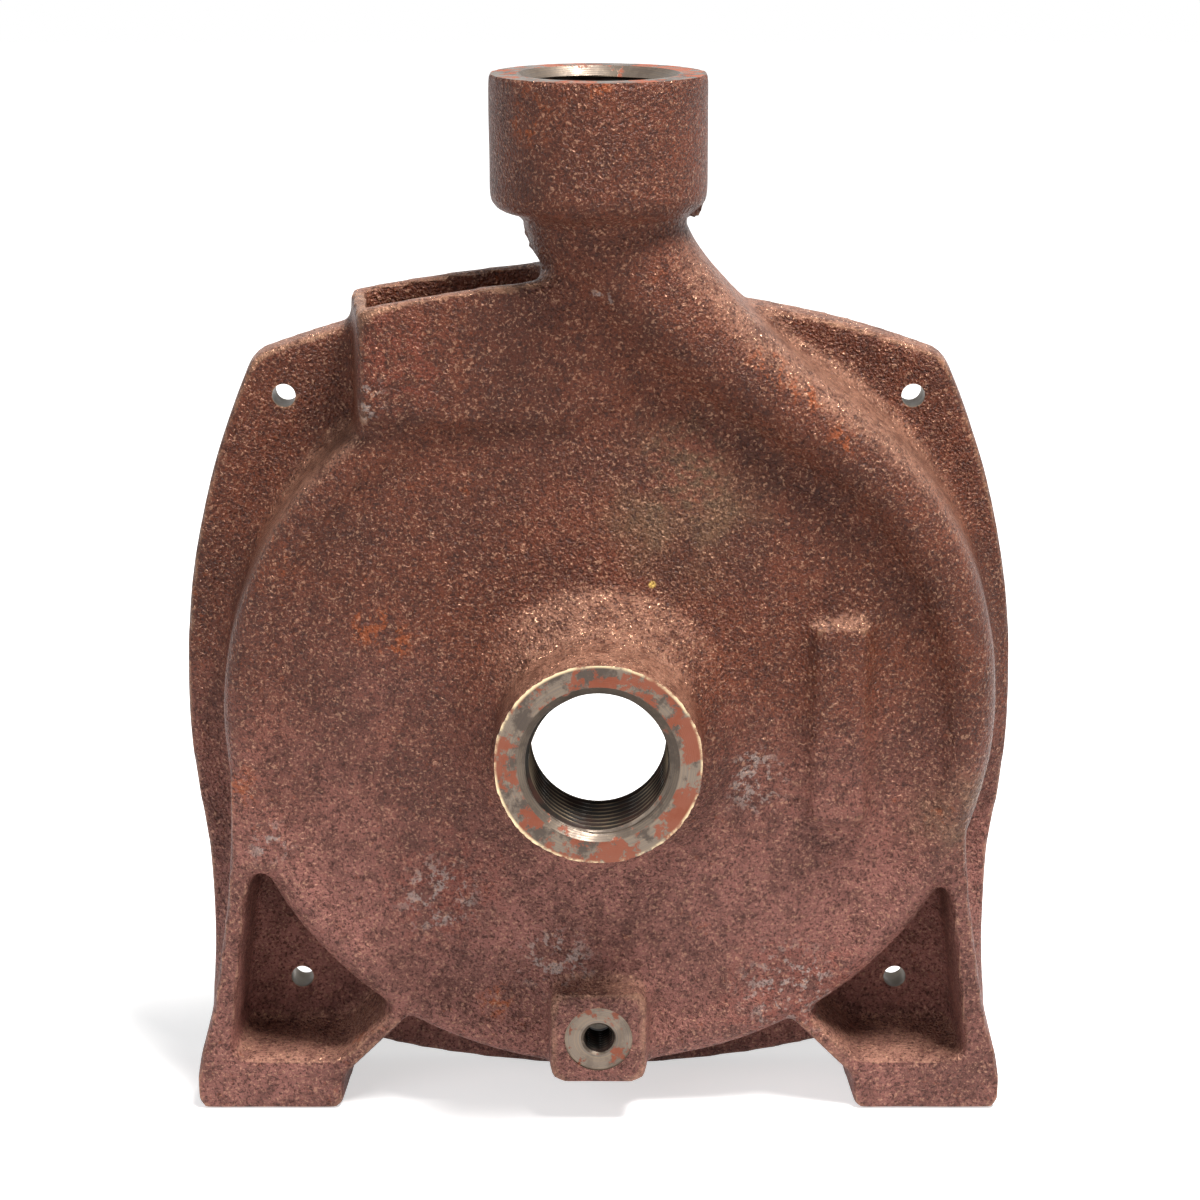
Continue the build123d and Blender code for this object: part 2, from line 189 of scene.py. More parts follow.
def makeCastGrain():
    look = grainLook
    group, given, out = startGroup(
        "castGrain",
        [("Where", "vector", None), ("Size", "value", 0.9), ("Swell", "value", 5.0)],
        [("Height", "value"), ("Crest", "value"), ("PitShade", "value")],
    )
    where, scale = given["Where"], grainScale(group, given["Size"])
    bent = noiseAt(group, where, scale, 2.0, 0.6, look["distortion"])
    cells = addNode(group, "ShaderNodeTexVoronoi", {"Vector": where, "Scale": scale}, feature="F1")
    pebble = calc(group, "SUBTRACT", 1.0, cells.outputs["Distance"])
    swell = noiseAt(group, where, grainScale(group, given["Swell"]), 2.0)
    height = shareOf(group, bent, look["bentShare"])
    height = calc(group, "ADD", height, shareOf(group, pebble, look["pebbleShare"]))
    height = calc(group, "ADD", height, shareOf(group, swell, look["swellShare"]))
    group.links.new(height, out["Height"])
    # The crest mask carries painted glints and the pit mask carries painted shade into the cast iron's
    # colour
    group.links.new(fromRange(group, bent, *look["crest"]), out["Crest"])
    group.links.new(fromRange(group, bent, *look["pitShade"]), out["PitShade"])
    return group


# Patches with ragged edges, for rust and bare spots. A larger amount lowers the level where they start.
patchLook = {
    "fineScale": 620.0, "broadShare": 0.8, "fineShare": 0.2,
    "start": 0.78, "perAmount": 0.5, "softness": 0.05,
    "speckFine": (0.6, 0.7), "speckBroad": (0.45, 0.6),
}


def makePatches():
    look = patchLook
    group, given, out = startGroup(
        "patches",
        [
            ("Where", "vector", None), ("Size", "value", 12.0),
            ("Amount", "value", 0.4), ("Shift", "vector", (0, 0, 0)),
        ],
        [("Mask", "value"), ("Speck", "value")],
    )
    where = vectorCalc(group, "ADD", given["Where"], given["Shift"])
    broad = noiseAt(group, where, grainScale(group, given["Size"]), 6.0, 0.68)
    fine = noiseAt(group, where, look["fineScale"], 3.0, 0.6)
    level = shareOf(group, broad, look["broadShare"])
    level = calc(group, "ADD", level, shareOf(group, fine, look["fineShare"]))
    start = calc(group, "SUBTRACT", look["start"], shareOf(group, given["Amount"], look["perAmount"]))
    mask = fromRange(group, level, start, calc(group, "ADD", start, look["softness"]))
    group.links.new(mask, out["Mask"])
    fineSpecks = fromRange(group, fine, *look["speckFine"])
    group.links.new(shareOf(group, fineSpecks, fromRange(group, broad, *look["speckBroad"])), out["Speck"])
    return group


# Soft round area about one place, broken up at its edge. The fades are shares of its radius.
areaLook = {"raggedShare": 0.9, "fadeEnd": 1.45, "fadeStart": 0.75}


def makeArea():
    group, given, out = startGroup(
        "area",
        [
            ("Where", "vector", None), ("Place", "vector", (0, 0, 0)), ("Radius", "value", 10.0),
            ("Ragged", "value", 0.5), ("Before", "value", 0.0),
        ],
        [("Mask", "value")],
    )
    place = vectorCalc(group, "MULTIPLY", given["Place"], (mm, mm, mm))
    gap = calc(group, "DIVIDE", vectorCalc(group, "DISTANCE", given["Where"], place), mm)
    share = calc(group, "DIVIDE", gap, given["Radius"])
    ragged = calc(group, "ADD", share, shareOf(group, given["Ragged"], areaLook["raggedShare"]))
    mask = fromRange(group, ragged, areaLook["fadeEnd"], areaLook["fadeStart"])
    group.links.new(calc(group, "MAXIMUM", mask, given["Before"]), out["Mask"])
    return group


# Fine rings that a lathe leaves about an axis
def makeTurnedRings():
    waveShare = 0.15
    group, given, out = startGroup(
        "turnedRings",
        [
            ("Where", "vector", None), ("Place", "vector", (0, 0, 0)),
            ("Axis", "vector", (0, 1, 0)), ("Pitch", "value", 0.35),
        ],
        [("Height", "value"), ("Tone", "value"), ("Radius", "value")],
    )
    away = vectorCalc(group, "SUBTRACT", given["Where"], given["Place"])
    along = vectorCalc(group, "MULTIPLY", given["Axis"], away)
    radial = vectorCalc(group, "SUBTRACT", away, along)
    radius = calc(group, "DIVIDE", vectorCalc(group, "LENGTH", radial), mm)
    turns = calc(group, "DIVIDE", radius, given["Pitch"])
    line = addNode(group, "ShaderNodeCombineXYZ", {"X": turns}).outputs[0]
    tone = noiseAt(group, line, 1.0, 3.0, 0.7)
    wave = calc(group, "SINE", calc(group, "MULTIPLY", turns, 2 * math.pi))
    group.links.new(calc(group, "ADD", tone, shareOf(group, wave, waveShare)), out["Height"])
    group.links.new(tone, out["Tone"])
    group.links.new(radius, out["Radius"])
    return group


castGrain, patches, area, turnedRings = makeCastGrain(), makePatches(), makeArea(), makeTurnedRings()
print("shader groups built")


def startMaterial(name):
    material = bpy.data.materials.new(name)
    material.use_nodes = True
    tree = material.node_tree
    shader = tree.nodes["Principled BSDF"]
    return material, tree, shader, addNode(tree, "ShaderNodeTexCoord").outputs["Object"]


# Links each named value to the shader's socket of that name
def connect(tree, shader, values):
    for name, value in values.items():
        tree.links.new(value, shader.inputs[name])


# Mask of the (x, y, z, radius) areas in a list
def marked(tree, where, ragged, places):
    mask = 0.0
    for x, y, z, radius in places:
        inputs = {"Where": where, "Place": (x, y, z), "Radius": radius, "Ragged": ragged, "Before": mask}
        mask = useGroup(tree, area, inputs)["Mask"]
    return mask


# Cast iron: dark red-brown skin, rust, pale scuffs and worn edges, each at its place in the photograph.
# Sizes are in millimetres, the skin changes from upper to lower over heights in metres, and a share is
# how much a colour covers what lies under it.
castLook = {
    "upper": (0.102, 0.026, 0.012, 1), "lower": (0.218, 0.088, 0.073, 1), "shade": (0.028, 0.008, 0.005, 1),
    # crest is a painted glint colour for the grain's crests, and shade also paints shade into the grain's
    # pits
    "crest": (0.50, 0.29, 0.19, 1), "rust": (0.27, 0.062, 0.016, 1), "brick": (0.15, 0.030, 0.017, 1),
    # The last colour below is a painted sheen for faces that look up
    "scuff": (0.30, 0.25, 0.23, 1), "worn": (0.42, 0.25, 0.155, 1), "paintedSheen": (0.36, 0.19, 0.13, 1),
    "yellow": (0.62, 0.40, 0.10, 1), "olive": (0.115, 0.082, 0.045, 1),
    "grain": 0.72, "swell": 5.0, "depth": 0.0010, "change": (0.075, -0.005), "drift": 0.09,
    "cloudShare": 0.45, "mottleShare": 0.42, "oliveShare": 0.45, "brickShare": 0.5, "paintedSheenShare": 0.50,
    "rustSize": 16.0, "rustAmount": 0.30, "freeRustShare": 0.55, "speckShare": 0.4, "rustShare": 0.62,
    "placedRustSize": 3.2, "placedRustAmount": 0.56,
    "scuffSize": 2.4, "scuffAmount": 0.52, "scuffShare": 0.6,
    "pitShadeShare": 0.75, "crestGlintShare": 0.35, "sheenGlintShare": 0.40,
    "wornEdge": (0.78, 1.2), "wornShare": 0.45,
    "roughness": (0.40, 0.54), "specular": 0.18,
}
rustPlaces = [
    (0, -41, 144, 5), (-14, -36, 138, 8), (38, -35, 84, 7), (46, -35, 78, 7), (55, -35, 68, 6),
    (-46, -31, 20, 6), (-51, -31, 24, 8), (-83, -26, -15, 8), (-24, -29, -69, 6), (0, -38, -72, 7),
]
brickPlaces = [
    (-36, -31, -40, 20), (45, -29, -69, 22), (54, -28, -62, 12), (-45, -31, 84, 16), (20, -31, 60, 14),
]
scuffPlaces = [
    (35, -31, -12, 11), (45, -29, -66, 16), (-52, -32, 76, 7), (1, -33, 99, 4), (-76, -28, -29, 7),
    (-37, -31, -42, 13), (-10, -30, -58, 12),
]
yellowPlaces = [(12, -33, 34, 1.1)]
olivePlaces = [(84, -26, -22, 16), (20, -31, 52, 24)]


def makeCastIron():
    look = castLook
    material, tree, shader, where = startMaterial("castIron")
    grain = useGroup(tree, castGrain, {"Where": where, "Size": look["grain"], "Swell": look["swell"]})
    ragged = noiseAt(tree, where, 160.0, 5.0, 0.7)
    cloud = noiseAt(tree, where, 42.0, 5.0, 0.62)
    mottle = noiseAt(tree, where, 330.0, 3.0, 0.65)

    # Skin: redder above, duller below, with darker clouds
    height = addNode(tree, "ShaderNodeSeparateXYZ", {0: where}).outputs["Z"]
    drift = shareOf(tree, noiseAt(tree, where, 14.0, 3.0), look["drift"])
    lower = fromRange(tree, calc(tree, "ADD", height, drift), *look["change"])
    colour = mixColour(tree, lower, look["upper"], look["lower"])
    clouded = fromRange(tree, cloud, 0.62, 0.34, 0.0, look["cloudShare"])
    colour = mixColour(tree, clouded, colour, look["shade"])
    mottled = fromRange(tree, mottle, 0.56, 0.36, 0.0, look["mottleShare"])
    colour = mixColour(tree, mottled, colour, look["shade"])
    olive = shareOf(tree, marked(tree, where, ragged, olivePlaces), fromRange(tree, cloud, 0.36, 0.56))
    colour = mixColour(tree, shareOf(tree, olive, look["oliveShare"]), colour, look["olive"])
    brick = shareOf(tree, marked(tree, where, ragged, brickPlaces), fromRange(tree, mottle, 0.40, 0.62))
    colour = mixColour(tree, shareOf(tree, brick, look["brickShare"]), colour, look["brick"])

    # Painted sheen: faces that look up are painted lighter, as light from above falls on them
    facing = addNode(tree, "ShaderNodeNewGeometry").outputs["Normal"]
    slope = addNode(tree, "ShaderNodeSeparateXYZ", {0: facing}).outputs["Z"]
    upward = fromRange(tree, slope, 0.22, 0.72)
    paintedSheen = shareOf(tree, upward, fromRange(tree, cloud, 0.30, 0.55, 0.55, 1.0))
    spread = fromRange(tree, mottle, 0.30, 0.60, 0.10, look["paintedSheenShare"])
    colour = mixColour(tree, shareOf(tree, paintedSheen, spread), colour, look["paintedSheen"])

    # Rust and scuffs
    rust = useGroup(tree, patches, {"Where": where, "Size": look["rustSize"], "Amount": look["rustAmount"]})
    broken = useGroup(tree, patches, {
        "Where": where, "Size": look["placedRustSize"], "Amount": look["placedRustAmount"],
        "Shift": (0.3, 0.1, 0.2),
    })
    freeRust = shareOf(tree, rust["Mask"], look["freeRustShare"])
    placedRust = shareOf(tree, marked(tree, where, ragged, rustPlaces), broken["Mask"])
    rustMask = calc(tree, "MAXIMUM", freeRust, placedRust)
    rustMask = calc(tree, "MAXIMUM", rustMask, shareOf(tree, rust["Speck"], look["speckShare"]))
    colour = mixColour(tree, shareOf(tree, rustMask, look["rustShare"]), colour, look["rust"])
    scuff = useGroup(tree, patches, {
        "Where": where, "Size": look["scuffSize"], "Amount": look["scuffAmount"], "Shift": (0.7, 0.2, 0.5),
    })
    scuffMask = shareOf(tree, marked(tree, where, ragged, scuffPlaces), scuff["Mask"])
    colour = mixColour(tree, shareOf(tree, scuffMask, look["scuffShare"]), colour, look["scuff"])
    colour = mixColour(tree, marked(tree, where, ragged, yellowPlaces), colour, look["yellow"])

    # Grain, with painted shade in its pits and painted glints on its crests, and worn edges
    colour = mixColour(tree, shareOf(tree, grain["PitShade"], look["pitShadeShare"]), colour, look["shade"])
    # More painted glints on the grain's crests where the painted sheen lies
    crestGlintShare = calc(tree, "ADD", look["crestGlintShare"], shareOf(tree, paintedSheen, look["sheenGlintShare"]))
    crest = shareOf(tree, grain["Crest"], crestGlintShare)
    colour = mixColour(tree, crest, colour, look["crest"])
    bend = addNode(tree, "ShaderNodeAttribute", attribute_name="worn").outputs["Fac"]
    chipped = calc(tree, "ADD", bend, shareOf(tree, calc(tree, "SUBTRACT", mottle, 0.5), 0.5))
    worn = fromRange(tree, chipped, *look["wornEdge"])
    colour = mixColour(tree, shareOf(tree, worn, look["wornShare"]), colour, look["worn"])

    roughness = fromRange(tree, lower, 0.0, 1.0, *look["roughness"])
    roughness = calc(tree, "SUBTRACT", roughness, shareOf(tree, crest, 0.3))
    roughness = calc(tree, "ADD", roughness, shareOf(tree, rustMask, 0.2))
    metal = calc(tree, "MAXIMUM", shareOf(tree, worn, 0.4), shareOf(tree, crest, 1.2))
    bump = addNode(tree, "ShaderNodeBump", {
        "Strength": 1.0, "Distance": look["depth"], "Height": grain["Height"],
    })
    shader.inputs["Specular IOR Level"].default_value = look["specular"]
    connect(tree, shader, {
        "Base Color": colour, "Roughness": roughness, "Metallic": metal, "Normal": bump.outputs["Normal"],
    })
    return material


# Machined metal with turning rings, stains and rust that eats into it. The pitch, the rust size and the
# width of the bright rim are in millimetres.
machinedLook = {
    "metal": (0.118, 0.098, 0.084, 1), "dull": (0.038, 0.026, 0.020, 1), "rust": (0.19, 0.038, 0.011, 1),
    "gold": (0.17, 0.128, 0.092, 1), "bright": (0.72, 0.56, 0.34, 1), "pitch": 0.42, "rustSize": 6.0,
    "rim": (0.8, 0.1), "rustShare": 0.9, "metallic": 0.8, "rustLoss": 0.78, "dullLoss": 0.3,
    "roughness": (0.3, 0.5), "depth": 0.00012,
}
noRim = 500.0


# place and axis are those of the turning, and rim is the radius of a bright worn edge
def makeMachined(name, place, axis, rustAmount, dullness, shift, rim=noRim):
    look = machinedLook
    material, tree, shader, where = startMaterial(name)
    rings = useGroup(tree, turnedRings, {
        "Where": where, "Place": Vector(place) * mm, "Axis": axis, "Pitch": look["pitch"],
    })
    colour = mixColour(tree, fromRange(tree, rings["Tone"], 0.35, 0.65), look["metal"], look["gold"])
    stain = noiseAt(tree, vectorCalc(tree, "ADD", where, Vector(shift)), 150.0, 6.0, 0.7)
    dull = shareOf(tree, fromRange(tree, stain, 0.46, 0.58), dullness)
    colour = mixColour(tree, dull, colour, look["dull"])
    rust = useGroup(tree, patches, {
        "Where": where, "Size": look["rustSize"], "Amount": rustAmount, "Shift": shift,
    })["Mask"]
    colour = mixColour(tree, shareOf(tree, rust, look["rustShare"]), colour, look["rust"])
    inner, outer = look["rim"]
    bright = fromRange(tree, rings["Radius"], rim - inner, rim - outer)
    bright = shareOf(tree, bright, fromRange(tree, stain, 0.38, 0.56))
    colour = mixColour(tree, bright, colour, look["bright"])
    metal = calc(tree, "SUBTRACT", look["metallic"], shareOf(tree, rust, look["rustLoss"]))
    metal = calc(tree, "SUBTRACT", metal, shareOf(tree, dull, look["dullLoss"]))
    roughness = fromRange(tree, stain, 0.3, 0.7, *look["roughness"])
    roughness = calc(tree, "ADD", roughness, shareOf(tree, rust, 0.3))
    height = calc(tree, "ADD", shareOf(tree, rings["Height"], 0.5), shareOf(tree, rust, -0.8))
    height = calc(tree, "ADD", height, shareOf(tree, stain, 0.6))
    bump = addNode(tree, "ShaderNodeBump", {"Strength": 0.5, "Distance": look["depth"], "Height": height})
    connect(tree, shader, {
        "Base Color": colour, "Metallic": metal, "Roughness": roughness, "Normal": bump.outputs["Normal"],
    })
    return material


# Threads and drilled walls: dark, oily metal, lighter on the crests
threadLook = {
    "dark": (0.010, 0.008, 0.006, 1), "bright": (0.10, 0.075, 0.05, 1), "rust": (0.030, 0.012, 0.008, 1),
    "crest": (0.15, 0.5), "metallic": (0.1, 0.7), "roughness": (0.36, 0.55),
    "specular": 0.15, "depth": 0.0001,
}


def makeThreadIron():
    look = threadLook
    material, tree, shader, where = startMaterial("threadIron")
    stain = noiseAt(tree, where, 210.0, 5.0, 0.65)
    colour = mixColour(tree, fromRange(tree, stain, 0.4, 0.7), look["dark"], look["rust"])
    bend = addNode(tree, "ShaderNodeAttribute", attribute_name="worn").outputs["Fac"]
    crest = fromRange(tree, bend, *look["crest"])
    colour = mixColour(tree, crest, colour, look["bright"])
    metal = fromRange(tree, crest, 0.0, 1.0, *look["metallic"])
    roughness = fromRange(tree, stain, 0.3, 0.7, *look["roughness"])
    bump = addNode(tree, "ShaderNodeBump", {"Strength": 0.3, "Distance": look["depth"], "Height": stain})
    shader.inputs["Specular IOR Level"].default_value = look["specular"]
    connect(tree, shader, {
        "Base Color": colour, "Metallic": metal, "Roughness": roughness, "Normal": bump.outputs["Normal"],
    })
    return material


# Machined finishes: name, place and axis of the turning, rust amount, dullness, shift of the pattern
shaft, upright = (0, 1, 0), (0, 0, 1)
hubRim = 22.9
finishes = {
    "castIron": makeCastIron(),
    "suctionMetal": makeMachined("suctionMetal", (0, 0, 0), shaft, 0.60, 0.8, (0.31, 0.0, 0.12), hubRim),
    "dischargeMetal": makeMachined("dischargeMetal", (0, -18, 0), upright, 0.62, 0.9, (0.11, 0.4, 0.2)),
    "drainMetal": makeMachined("drainMetal", (0, 0, -74.6), shaft, 0.50, 0.3, (0.52, 0.1, 0.3)),
    "rearMetal": makeMachined("rearMetal", (0, 0, 0), shaft, 0.34, 0.6, (0.2, 0.6, 0.1)),
    "chamferMetal": makeMachined("chamferMetal", (0, 0, 0), shaft, 0.40, 0.5, (0.8, 0.3, 0.5)),
    "threadIron": makeThreadIron(),
}
print("materials built")


# Gives a mesh all the finishes, so that a cut carries over the one that its faces use
def takeFinish(piece, name):
    piece.data.materials.clear()
    for material in finishes.values():
        piece.data.materials.append(material)
    index = list(finishes).index(name)
    piece.data.polygons.foreach_set("material_index", [index] * len(piece.data.polygons))
    return piece


# Ports and holes, as they are cut into the rough casting. In each port: the thread's minor radius and
# depth, the length that is threaded, the plain bore beyond it, the plug that fills the solid's own bore
# before the remesh, and the rim of the machined face.
ports = {
    "suction": {
        "place": (0, -58, 0), "axis": (0, -1, 0), "minor": 15.15, "depth": 1.28, "pitch": 2.309,
        "length": 19.0, "chamfer": 2.1, "beyond": 17.7, "plug": 20.0, "plugLength": 20.5, "rim": 23.2,
    },
    "discharge": {
        "place": (0, -18, 145.5), "axis": (0, 0, 1), "minor": 15.15, "depth": 1.28, "pitch": 2.309,
        "length": 21.5, "chamfer": 2.1, "beyond": 14.4, "plug": 19.0, "plugLength": 23.5, "rim": 24.0,
    },
    "drain": {
        "place": (0, -38, -74.6), "axis": (0, -1, 0), "minor": 3.3, "depth": 0.62, "pitch": 1.25,
        "length": 12.0, "chamfer": 0.5, "beyond": 3.3, "plug": 5.5, "plugLength": 14.0,
    },
}
holes = {"spacing": 143.8, "radius": 2.7, "flange": 8.5, "plug": 4.5}
holeSpots = [(x * holes["spacing"] / 2, 0, z * holes["spacing"] / 2) for x in (-1, 1) for z in (-1, 1)]
spotFace = {"radius": 7.9}
register = {"radius": 89.0, "depth": 3.0}
stock = 1.0
faceRadius = 40


# Bore with a helical thread, a chamfer at its mouth and a plain end
def threadedCutter(name, port):
    rowsPerTurn = 9 if port["minor"] > 10 else 7
    gap = port["pitch"] / rowsPerTurn
    rows = int(port["length"] / gap)
    mouth = port["minor"] + port["depth"] * 0.5 + port["chamfer"]

    def wall(turn, along, radius):
        deep = -along
        if deep > port["length"] + 0.01 or deep < -0.01:
            return radius
        phase = (along / port["pitch"] - turn / (2 * math.pi)) % 1.0
        tooth = min(1.0, max(0.0, 1.25 - 2.5 * abs(phase - 0.5)))
        runOut = min(1.0, max(0.0, (port["length"] - deep) / port["pitch"]))
        return max(port["minor"] + port["depth"] * tooth * runOut, mouth - deep)

    profile = [(port["beyond"], -port["length"] - 6), (port["beyond"], -port["length"] - 0.6)]
    profile += [(port["minor"], -port["length"] + row * gap) for row in range(rows + 1)]
    profile += [(mouth, 0.0), (mouth, 3.0)]
    cutter = lathe(name, profile, port["place"], port["axis"], 72 if port["minor"] > 10 else 40, wall)
    takeFinish(cutter, "threadIron")
    face = Vector(port["place"]) * mm
    for polygon in cutter.data.polygons:
        deep = -(polygon.center - face).dot(Vector(port["axis"])) / mm
        if deep < port["chamfer"] + 0.3:
            polygon.material_index = list(finishes).index("chamferMetal")
    return cutter


# Rough casting: the frame's own mesh, its bores plugged and a little stock on each machined face
rough = {
    "voxel": 1.3, "evenRounds": 2, "coveRounds": 7, "waver": 0.14, "waverSize": 13.0,
    "fullCorner": 0.05, "fullEdge": 0.12, "sharpFrom": 35,
}


# Slab over the mating face, so that the cut there leaves a sharp edge
def makeRearStock(bm):
    rear = [f for f in bm.faces if f.normal.y > 0.99 and abs(f.calc_center_median().y) < 0.05 * mm]
    slab = bmesh.new()
    made = {}
    for face in rear:
        for vert in face.verts:
            if vert.index not in made:
                made[vert.index] = slab.verts.new(vert.co - Vector((0, 0.8 * mm, 0)))
        slab.faces.new([made[vert.index] for vert in face.verts])
    top = bmesh.ops.extrude_face_region(slab, geom=slab.faces[:])
    for item in top["geom"]:
        if isinstance(item, bmesh.types.BMVert):
            item.co.y += (stock + 0.8) * mm
    bmesh.ops.recalc_face_normals(slab, faces=slab.faces)
    mesh = bpy.data.meshes.new("rearStock")
    slab.to_mesh(mesh)
    slab.free()
    return linkObject("rearStock", mesh)


def makeRough():
    base = linkObject("casting", cadCasting.data.copy())
    base.data.transform(cadCasting.matrix_world)
    bm = bmesh.new()
    bm.from_mesh(base.data)
    bmesh.ops.remove_doubles(bm, verts=bm.verts, dist=0.001 * mm)
    pieces = [makeRearStock(bm)]
    bm.to_mesh(base.data)
    bm.free()
    for name, port in ports.items():
        end = 0.5 if name == "drain" else stock
        place, axis = port["place"], port["axis"]
        pieces.append(cylinder(name + "Plug", port["plug"], -port["plugLength"], end, place, axis))
    for name in ("suction", "discharge"):
        port = ports[name]
        pieces.append(cylinder(name + "Stock", port["rim"], -3, stock, port["place"], port["axis"]))
    for spot in holeSpots:
        pieces.append(cylinder("holePlug", holes["plug"], 0.3, holes["flange"] - 0.1, spot, (0, -1, 0), 24))
    bpy.ops.object.select_all(action="DESELECT")
    for piece in pieces + [base]:
        piece.select_set(True)
    bpy.context.view_layer.objects.active = base
    bpy.ops.object.join()
    remesh = base.modifiers.new("remesh", "REMESH")
    remesh.mode = "VOXEL"
    remesh.voxel_size = rough["voxel"] * mm
    bpy.ops.object.modifier_apply(modifier="remesh")
    print("rough casting", len(base.data.polygons), "faces")
    return base


def readSpots(mesh):
    spots = np.empty(len(mesh.vertices) * 3)
    mesh.vertices.foreach_get("co", spots)
    return spots.reshape(-1, 3)


def readNormals(mesh):
    normals = np.empty(len(mesh.vertices) * 3, dtype=np.float32)
    mesh.vertex_normals.foreach_get("vector", normals)
    return normals.reshape(-1, 3)


# Pairs of joined points, and how many neighbours each point has
def readEdges(mesh):
    ends = np.empty(len(mesh.edges) * 2, dtype=np.int64)
    mesh.edges.foreach_get("vertices", ends)
    a, b = ends.reshape(-1, 2).T
    count = len(mesh.vertices)
    return a, b, np.maximum(np.bincount(a, minlength=count) + np.bincount(b, minlength=count), 1)


def neighbourMean(values, a, b, degree):
    count = len(values)
    return (np.bincount(a, values[b], count) + np.bincount(b, values[a], count)) / degree


# Evens the surface: each point moves towards the middle of its neighbours, by its own weight
def relax(mesh, weights, rounds):
    spots = readSpots(mesh)
    a, b, degree = readEdges(mesh)
    for _ in range(rounds):
        for axis in range(3):
            line = spots[:, axis].copy()
            spots[:, axis] = line + weights * (neighbourMean(line, a, b, degree) - line)
    mesh.vertices.foreach_set("co", spots.ravel())
    mesh.update()


# How far each point stands proud of its neighbours, in millimetres: above 0 on edges, below in corners
def bendOf(mesh, rounds):
    spots, normals = readSpots(mesh), readNormals(mesh)
    a, b, degree = readEdges(mesh)
    mean = np.stack([neighbourMean(spots[:, axis], a, b, degree) for axis in range(3)], axis=1)
    bend = ((spots - mean) * normals).sum(axis=1) / mm
    for _ in range(rounds):
        bend = 0.5 * bend + 0.5 * neighbourMean(bend, a, b, degree)
    return bend


# Small faults of the casting: flash on the neck's side, and a lump under the boss
faults = {
    "flash": {"place": (-16.5, -18, 107), "size": (4, 1.6, 7), "push": (-1.5, 0, 0)},
    "lump": {"place": (21.5, -21, 116), "size": (2.4, 3.0, 2.0), "push": (0.6, -0.4, -1.6)},
}


def addFaults(mesh):
    spots = readSpots(mesh)
    for fault in faults.values():
        away = (spots / mm - np.array(fault["place"])) / np.array(fault["size"])
        share = np.clip(1 - (away**2).sum(axis=1), 0, 1)
        near = np.flatnonzero(share)
        ragged = np.array([0.35 + 1.3 * abs(noise.noise(Vector(spots[i]) / (1.4 * mm))) for i in near])
        spots[near] += (share[near] * ragged)[:, None] * np.array(fault["push"]) * mm
    mesh.vertices.foreach_set("co", spots.ravel())
    mesh.update()


def addWaver(mesh):
    spots, normals = readSpots(mesh), readNormals(mesh)
    scale = 1 / (rough["waverSize"] * mm)
    lift = np.array([noise.noise(Vector(spot) * scale) for spot in spots])
    spots += normals * lift[:, None] * rough["waver"] * mm
    mesh.vertices.foreach_set("co", spots.ravel())
    mesh.update()


casing = makeRough()
mesh = casing.data
takeFinish(casing, "castIron")
relax(mesh, 0.5, rough["evenRounds"])
corner = np.clip(-bendOf(mesh, 3) / rough["fullCorner"], 0, 1)
relax(mesh, 0.04 + 0.5 * corner, rough["coveRounds"])
addWaver(mesh)
addFaults(mesh)
print("surface evened")


def cut(target, cutter):
    boolean = target.modifiers.new("cut", "BOOLEAN")
    boolean.operation = "DIFFERENCE"
    boolean.object = cutter
    boolean.solver = "MANIFOLD"
    bpy.context.view_layer.objects.active = target
    bpy.ops.object.modifier_apply(modifier="cut")
    bpy.data.objects.remove(cutter)


# Disc in front of a port's face, which leaves it flat
def faceCutter(name, radius, finish):
    port = ports[name]
    return takeFinish(cylinder(name + "Face", radius, 0, 5, port["place"], port["axis"]), finish)


registerCut = cylinder("registerCut", register["radius"], -register["depth"], 3, (0, 0, 0), shaft, 256)
cutters = [
    takeFinish(block("rearCut", (-120, 0, -110), (120, 4, 112)), "rearMetal"),
    takeFinish(registerCut, "rearMetal"),
    faceCutter("suction", faceRadius, "suctionMetal"),
    faceCutter("discharge", faceRadius, "dischargeMetal"),
    faceCutter("drain", spotFace["radius"], "drainMetal"),
]
cutters += [threadedCutter(name + "Bore", port) for name, port in ports.items()]
for spot in holeSpots:
    hole = cylinder("holeCut", holes["radius"], -3, 12, spot, (0, -1, 0), 32)
    cutters.append(takeFinish(hole, "threadIron"))
for cutter in cutters:
    cut(casing, cutter)
for face in mesh.polygons:
    face.use_smooth = True
mesh.set_sharp_from_angle(angle=math.radians(rough["sharpFrom"]))
worn = mesh.attributes.new("worn", "FLOAT", "POINT")
worn.data.foreach_set("value", np.clip(bendOf(mesh, 2) / rough["fullEdge"], -1, 1).astype(np.float32))
print("machined", len(mesh.polygons), "faces, materials", [m.name for m in mesh.materials])

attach(casing, "root")
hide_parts("pump_casing")

# Floor: white, and a little lighter to the camera, so that only the object's shadow shows on it
floorLook = {
    "height": -96.6, "half": 3000, "colour": (0.86, 0.86, 0.87, 1), "roughness": 0.9,
    "reach": (0.5, 1.6), "lift": (0.58, 0.92),
}


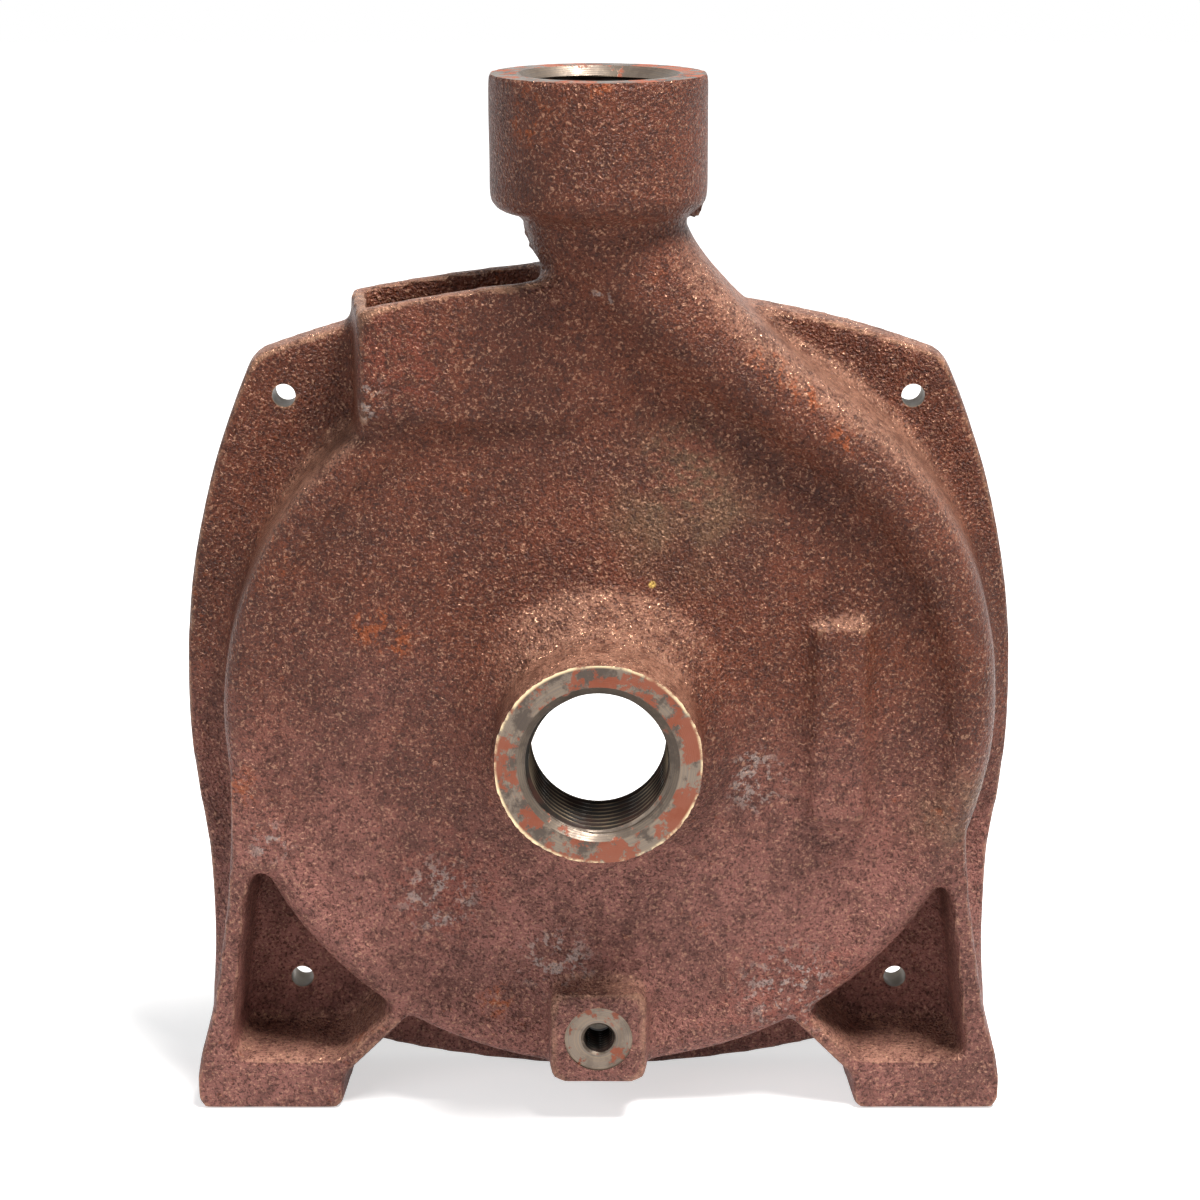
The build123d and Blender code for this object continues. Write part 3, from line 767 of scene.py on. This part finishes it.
def makeFloor():
    half, height = floorLook["half"], floorLook["height"]
    corners = [(-half, -half, height), (half, -half, height), (half, half, height), (-half, half, height)]
    floor = meshFrom("floor", corners, [(0, 1, 2, 3)])
    material, tree, shader, where = startMaterial("floor")
    shader.inputs["Base Color"].default_value = floorLook["colour"]
    shader.inputs["Roughness"].default_value = floorLook["roughness"]
    shader.inputs["Specular IOR Level"].default_value = 0.0
    away = vectorCalc(tree, "LENGTH", where)
    lift = fromRange(tree, away, *floorLook["reach"], *floorLook["lift"])
    glow = addNode(tree, "ShaderNodeEmission", {"Strength": shareOf(tree, lift, seenRays(tree))})
    both = addNode(tree, "ShaderNodeAddShader", {0: shader.outputs[0], 1: glow.outputs[0]})
    tree.links.new(both.outputs[0], tree.nodes["Material Output"].inputs["Surface"])
    floor.data.materials.append(material)


makeFloor()

# Light: a large soft lamp above and to the right, a weak one low on the left, and a pale room
light = {
    "key": {"place": (0.30, -0.27, 1.04), "size": 0.34, "watts": 31.0, "colour": (1.0, 0.97, 0.93)},
    "fill": {"place": (-0.8, -0.9, 0.45), "size": 0.8, "watts": 4.5, "colour": (0.95, 0.97, 1.0)},
    "aim": (0, 0, 0.02), "room": 0.18,
}


def makeLamp(name):
    values = light[name]
    lamp = bpy.data.lights.new(name, "AREA")
    lamp.energy = values["watts"]
    lamp.size = values["size"]
    lamp.color = values["colour"]
    placed = linkObject(name, lamp)
    placed.location = values["place"]
    placed.rotation_euler = (Vector(light["aim"]) - placed.location).to_track_quat("-Z", "Y").to_euler()


def makeRoom():
    world = bpy.data.worlds.new("room")
    scene.world = world
    world.use_nodes = True
    tree = world.node_tree
    lit = tree.nodes["Background"]
    lit.inputs["Color"].default_value = (1, 1, 1, 1)
    lit.inputs["Strength"].default_value = light["room"]
    white = addNode(tree, "ShaderNodeBackground", {"Color": (1, 1, 1, 1), "Strength": 1.0})
    mixed = addNode(tree, "ShaderNodeMixShader", {0: seenRays(tree), 1: lit.outputs[0], 2: white.outputs[0]})
    tree.links.new(mixed.outputs[0], tree.nodes["World Output"].inputs["Surface"])


makeLamp("key")
makeLamp("fill")
makeRoom()
scene.view_settings.view_transform = "Standard"
print("light set")
